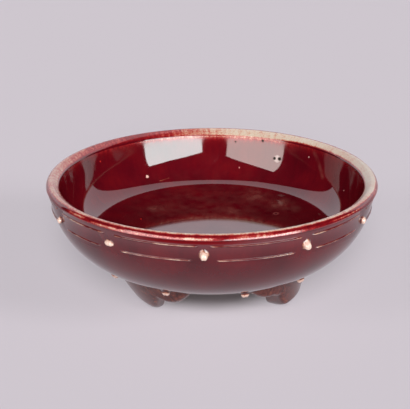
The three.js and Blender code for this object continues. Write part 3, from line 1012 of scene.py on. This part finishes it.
def matt_paper():
    """Matt paper for the stage's floor. Half of its brightness stands for even light from all round,
    which dies away under the washer. It can be seen through from below."""
    material, tree = new_material("pale_paper")
    place = add(tree, "TexCoord").outputs["Object"]
    away = add(tree, "VectorMath", {0: place, 1: UNDER_CENTRE}, operation="DISTANCE")
    fade = {"From Min": UNDER_DARK, "From Max": UNDER_EDGE, "To Min": 0.0, "To Max": EVEN_LIGHT}
    even = add(tree, "MapRange", {"Value": away, **fade}, interpolation_type="SMOOTHSTEP")
    glow = add(tree, "Emission", {"Color": linear("#cfc8cf"), "Strength": even})
    matt = add(tree, "BsdfDiffuse", {"Color": linear("#989298")})
    finish = add(tree, "AddShader", {0: matt, 1: glow})
    clear = add(tree, "BsdfTransparent")
    below = add(tree, "NewGeometry").outputs["Backfacing"]
    sheet = add(tree, "MixShader", {0: below, 1: finish, 2: clear})
    add(tree, "OutputMaterial", {"Surface": sheet})
    return material


# Stage, lights and camera, in metres
FLOOR_REACH = 6.0
UNDER_CENTRE = (0.0, 0.015, 0.0)
UNDER_DARK = 0.028
UNDER_EDGE = 0.052
EVEN_LIGHT = 0.5
ROOM_RADIUS = 5.0
ROOM_LEVELS = 25
ROOM_COLUMNS = 48
ROOM_POLE_GAP = 0.02  # in radians
ROOM_GLOW = 0.58
BACKDROP_AWAY = 0.9
BACKDROP_LEFT = -1.9 * BACKDROP_AWAY
BACKDROP_RIGHT = 2.2 * BACKDROP_AWAY
BACKDROP_HEIGHT = 6.4 * BACKDROP_AWAY
BACKDROP_GLOW = 1.6
BACKDROP_GLOW_AT_FLOOR = 0.6
BACKDROP_FULL_GLOW_HEIGHT = 0.33
TABLE_NEAR = 0.13
TABLE_FAR = 0.24
TABLE_REACH = 3.0
TABLE_TURN = 105.0
TABLE_COLUMNS = 37
TABLE_Z = 0.001
TABLE_GLOW_NEAR = 0.58
TABLE_GLOW_FAR = 1.45
WORLD_GLOW = 0.02
# Light panels, which the glaze mirrors: the azimuth that each one's plane faces, the azimuths where
# it starts and ends, how far away, its lowest and highest edges, how bright, and its colour. Here
# and for the suns, azimuth 0 is straight back.
PANELS = (
    ("right_panel", 111.4, (123.5, 172.3), 0.9, (0.0, 0.475), 13.4, "#f2ffff"),
    ("left_panel", -101, (-119, -167.7), 0.9, (0.0, 0.775), 7.6, "#fff3ee"),
)
# Soft daylight on matt surfaces: azimuth, elevation, spread, and what it adds to the brightness of a
# white floor
SUNS = (
    ("front_daylight", 180, 34, 18, 0.39),
    ("low_front_daylight", 180, 22, 18, 0.29),
    ("right_daylight", 120, 22, 18, 0.2),
    ("left_daylight", 240, 22, 18, 0.09),
)


def hide_from(piece, *rays):
    """Hides a piece from kinds of rays, such as those that the glaze mirrors."""
    for ray in rays:
        setattr(piece, "visible_" + ray, False)


def stage_piece(name, points, faces, material):
    piece = mesh_piece(name, points, faces, material)
    return piece


def make_floor():
    reach = FLOOR_REACH
    corners = [(-reach, -reach, 0), (reach, -reach, 0), (reach, reach, 0), (-reach, reach, 0)]
    stage_piece("paper_floor", corners, [(0, 1, 2, 3)], matt_paper())


def make_room():
    """A pale room round the stage, which only the camera sees."""
    material, tree = new_material("pale_wall")
    glow = add(tree, "Emission", {"Color": linear("#fff6ff"), "Strength": ROOM_GLOW})
    add(tree, "OutputMaterial", {"Surface": glow})
    up = np.linspace(-math.pi / 2 + ROOM_POLE_GAP, math.pi / 2 - ROOM_POLE_GAP, ROOM_LEVELS)[:, None]
    angles = np.linspace(0, 2 * np.pi, ROOM_COLUMNS, endpoint=False)[None, :]
    points = turned_to(angles, ROOM_RADIUS * np.cos(up), ROOM_RADIUS * np.sin(up))
    faces = ring_faces(ROOM_LEVELS, ROOM_COLUMNS)
    faces.append(tuple(range(ROOM_COLUMNS)))
    faces.append(tuple(range((ROOM_LEVELS - 1) * ROOM_COLUMNS, ROOM_LEVELS * ROOM_COLUMNS)))
    room = stage_piece("pale_room", points.reshape(-1, 3), faces, material)
    hide_from(room, "diffuse", "glossy", "transmission", "shadow")


def make_backdrop():
    """Lit paper behind the washer, out of the picture, which its glaze mirrors. It is dimmer near the
    floor."""
    material, tree = new_material("lit_paper")
    place = add(tree, "TexCoord").outputs["Object"]
    height = add(tree, "SeparateXYZ", {0: place}).outputs["Z"]
    climb = {"To Min": BACKDROP_GLOW_AT_FLOOR, "To Max": BACKDROP_GLOW}
    strength = add(tree, "MapRange", {"Value": height, "From Max": BACKDROP_FULL_GLOW_HEIGHT, **climb})
    glow = add(tree, "Emission", {"Color": linear("#fff4fc"), "Strength": strength})
    add(tree, "OutputMaterial", {"Surface": glow})
    corners = [
        (BACKDROP_LEFT, BACKDROP_AWAY, 0),
        (BACKDROP_LEFT, BACKDROP_AWAY, BACKDROP_HEIGHT),
        (BACKDROP_RIGHT, BACKDROP_AWAY, BACKDROP_HEIGHT),
        (BACKDROP_RIGHT, BACKDROP_AWAY, 0),
    ]
    sheet = stage_piece("paper_backdrop", corners, [(0, 1, 2, 3)], material)
    hide_from(sheet, "camera", "diffuse", "shadow")


def make_bright_table():
    """The table in front and at the sides, brighter away from the washer, which the glaze mirrors."""
    material, tree = new_material("bright_table")
    place = add(tree, "TexCoord").outputs["Object"]
    away = add(tree, "VectorMath", {0: place}, operation="LENGTH")
    span = {"From Min": TABLE_NEAR, "From Max": TABLE_FAR}
    glows = {"To Min": TABLE_GLOW_NEAR, "To Max": TABLE_GLOW_FAR}
    strength = add(tree, "MapRange", {"Value": away, **span, **glows}, interpolation_type="SMOOTHSTEP")
    glow = add(tree, "Emission", {"Color": linear("#fff6ff"), "Strength": strength})
    add(tree, "OutputMaterial", {"Surface": glow})
    angles = np.radians(np.linspace(-TABLE_TURN, TABLE_TURN, TABLE_COLUMNS))[None, :]
    radius = np.array([TABLE_NEAR, TABLE_REACH])[:, None]
    points = turned_to(angles, radius, TABLE_Z).reshape(-1, 3)
    far = TABLE_COLUMNS
    faces = [(column, column + 1, column + 1 + far, column + far) for column in range(far - 1)]
    table = stage_piece("bright_table", points, faces, material)
    hide_from(table, "camera", "diffuse", "shadow")


def light_piece(name, kind, aim):
    """A light that shines back along a direction, with its data."""
    data = bpy.data.lights.new(name, kind)
    light = in_scene(name, data)
    light.rotation_euler = aim.to_track_quat("Z", "Y").to_euler()
    return light, data


def panel_light(name, facing, azimuths, away, heights, glow, colour):
    """An upright light panel, whose plane faces the bowl."""
    normal = Vector((math.sin(math.radians(facing)), math.cos(math.radians(facing)), 0))
    aside = Vector((normal.y, -normal.x, 0))
    start, end = (math.tan(math.radians(azimuth - facing)) * away for azimuth in azimuths)
    low, high = heights
    panel, data = light_piece(name, "AREA", normal)
    data.shape = "RECTANGLE"
    data.size = abs(end - start)
    data.size_y = high - low
    data.energy = glow * math.pi * data.size * data.size_y
    data.color = linear(colour)[:3]
    panel.location = normal * away + aside * (start + end) / 2 + Vector((0, 0, (low + high) / 2))
    hide_from(panel, "camera", "diffuse")


def soft_sun(name, azimuth, elevation, spread, share):
    """Soft daylight for matt surfaces; the glossy glaze mirrors the panels."""
    turn, rise = math.radians(azimuth), math.radians(elevation)
    towards = Vector((math.sin(turn) * math.cos(rise), math.cos(turn) * math.cos(rise), math.sin(rise)))
    sun, data = light_piece(name, "SUN", towards)
    data.angle = math.radians(spread)
    data.energy = share * math.pi / math.sin(rise)
    hide_from(sun, "camera", "glossy")


def make_lights():
    for panel in PANELS:
        panel_light(*panel)
    for sun in SUNS:
        soft_sun(*sun)
    world = bpy.data.worlds.new("dim_room")
    bpy.context.scene.world = world
    world.use_nodes = True
    tree = world.node_tree
    tree.nodes.clear()
    dim = add(tree, "Background", {"Color": linear("#8c868c"), "Strength": WORLD_GLOW})
    add(tree, "OutputWorld", {"Surface": dim})


def make_camera():
    data = bpy.data.cameras.new("camera")
    camera = in_scene("camera", data)
    bpy.context.scene.camera = camera
    rise = math.radians(CAMERA_ELEVATION)
    away = Vector((0, -math.cos(rise), math.sin(rise)))
    camera.location = Vector((0, 0, RIM_Z * MM)) + away * CAMERA_DISTANCE * MM
    camera.rotation_euler = (-away).to_track_quat("-Z", "Y").to_euler()
    data.sensor_width = SENSOR_MM
    data.lens = CAMERA_FOCAL_PX / PHOTO_WIDTH_PX * SENSOR_MM
    data.shift_x = (PHOTO_WIDTH_PX / 2 - LIP_CENTRE_PX[0]) / PHOTO_WIDTH_PX
    data.shift_y = (LIP_CENTRE_PX[1] - PHOTO_HEIGHT_PX / 2) / PHOTO_WIDTH_PX
    data.clip_start = CAMERA_NEAR_M
    data.clip_end = CAMERA_FAR_M


make_camera()
make_floor()
make_room()
make_backdrop()
make_bright_table()
make_lights()
bpy.context.scene.view_settings.view_transform = "Standard"
make_bowl(porcelain_copper_red_glaze())
stud_material = porcelain_stud_glaze()
for ring, places, z_centre in (
    ("upper", UPPER_STUD_ANGLES, UPPER_STUD_Z),
    ("lower", LOWER_STUD_ANGLES, LOWER_STUD_Z),
):
    for number, angle in enumerate(places, start=1):
        node = f"{ring}_stud_{number:02d}"
        make_stud(node, angle, z_centre, number, stud_material)
foot_material = porcelain_foot_glaze()
for foot_name, *shape in FEET:
    make_foot(foot_name, *shape, foot_material)
